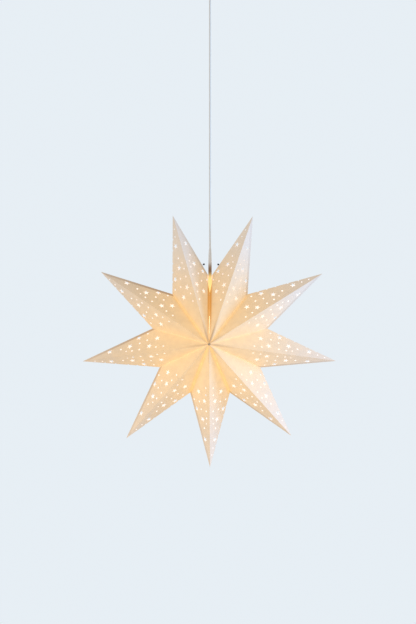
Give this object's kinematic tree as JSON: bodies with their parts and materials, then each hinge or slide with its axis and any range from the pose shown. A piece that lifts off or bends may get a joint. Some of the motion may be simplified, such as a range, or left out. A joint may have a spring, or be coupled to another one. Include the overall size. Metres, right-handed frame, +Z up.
{
  "type": "paper advent star",
  "caption": "Folded paper advent star with pierced points, lit by a bulb inside and hung by its cord from a ceiling cup.",
  "frame": {"origin": "centre of the ceiling face, on top of the mounting strap", "axes": "+Z up along the cord; the front of the star faces -Y"},
  "size_m": [0.6929, 0.2156, 1.339],
  "materials": {
    "star_paper": "matte translucent paper, lit from inside",
    "wire_steel": "drawn wire",
    "black_plastic": "matte black",
    "cord_sheath": "matte pale grey",
    "holder_white": "satin white",
    "insert_ceramic": "glazed white",
    "brass": "satin brass",
    "wire_insulation": "brown insulation",
    "bulb_glass": "frosted, lit",
    "strap_steel": "zinc plated",
    "cup_white": "satin white"
  },
  "bodies": {
    "root": {"star_point_1": "star_paper", "star_point_2": "star_paper", "star_point_3": "star_paper", "star_point_4": "star_paper", "star_point_5": "star_paper", "star_point_6": "star_paper", "star_point_7": "star_paper", "star_point_8": "star_paper", "star_point_9": "star_paper", "hanger_wire": "wire_steel", "wire_end_caps": "black_plastic", "cord": "cord_sheath", "cord_sleeve": "holder_white", "holder_cap": "holder_white", "holder_shell": "holder_white", "contact_insert": "insert_ceramic", "insert_screws": "brass", "screw_shell": "brass", "centre_contact": "brass", "lamp_wires": "wire_insulation", "bulb": "bulb_glass", "mounting_strap": "strap_steel", "cord_anchor": "cup_white", "terminal_block": "cup_white", "terminal_screws": "brass", "ceiling_cup": "cup_white", "cup_cord_grip": "cup_white", "cup_grip_nut": "cup_white", "cup_grip_screw": "strap_steel"}
  },
  "joints": []
}
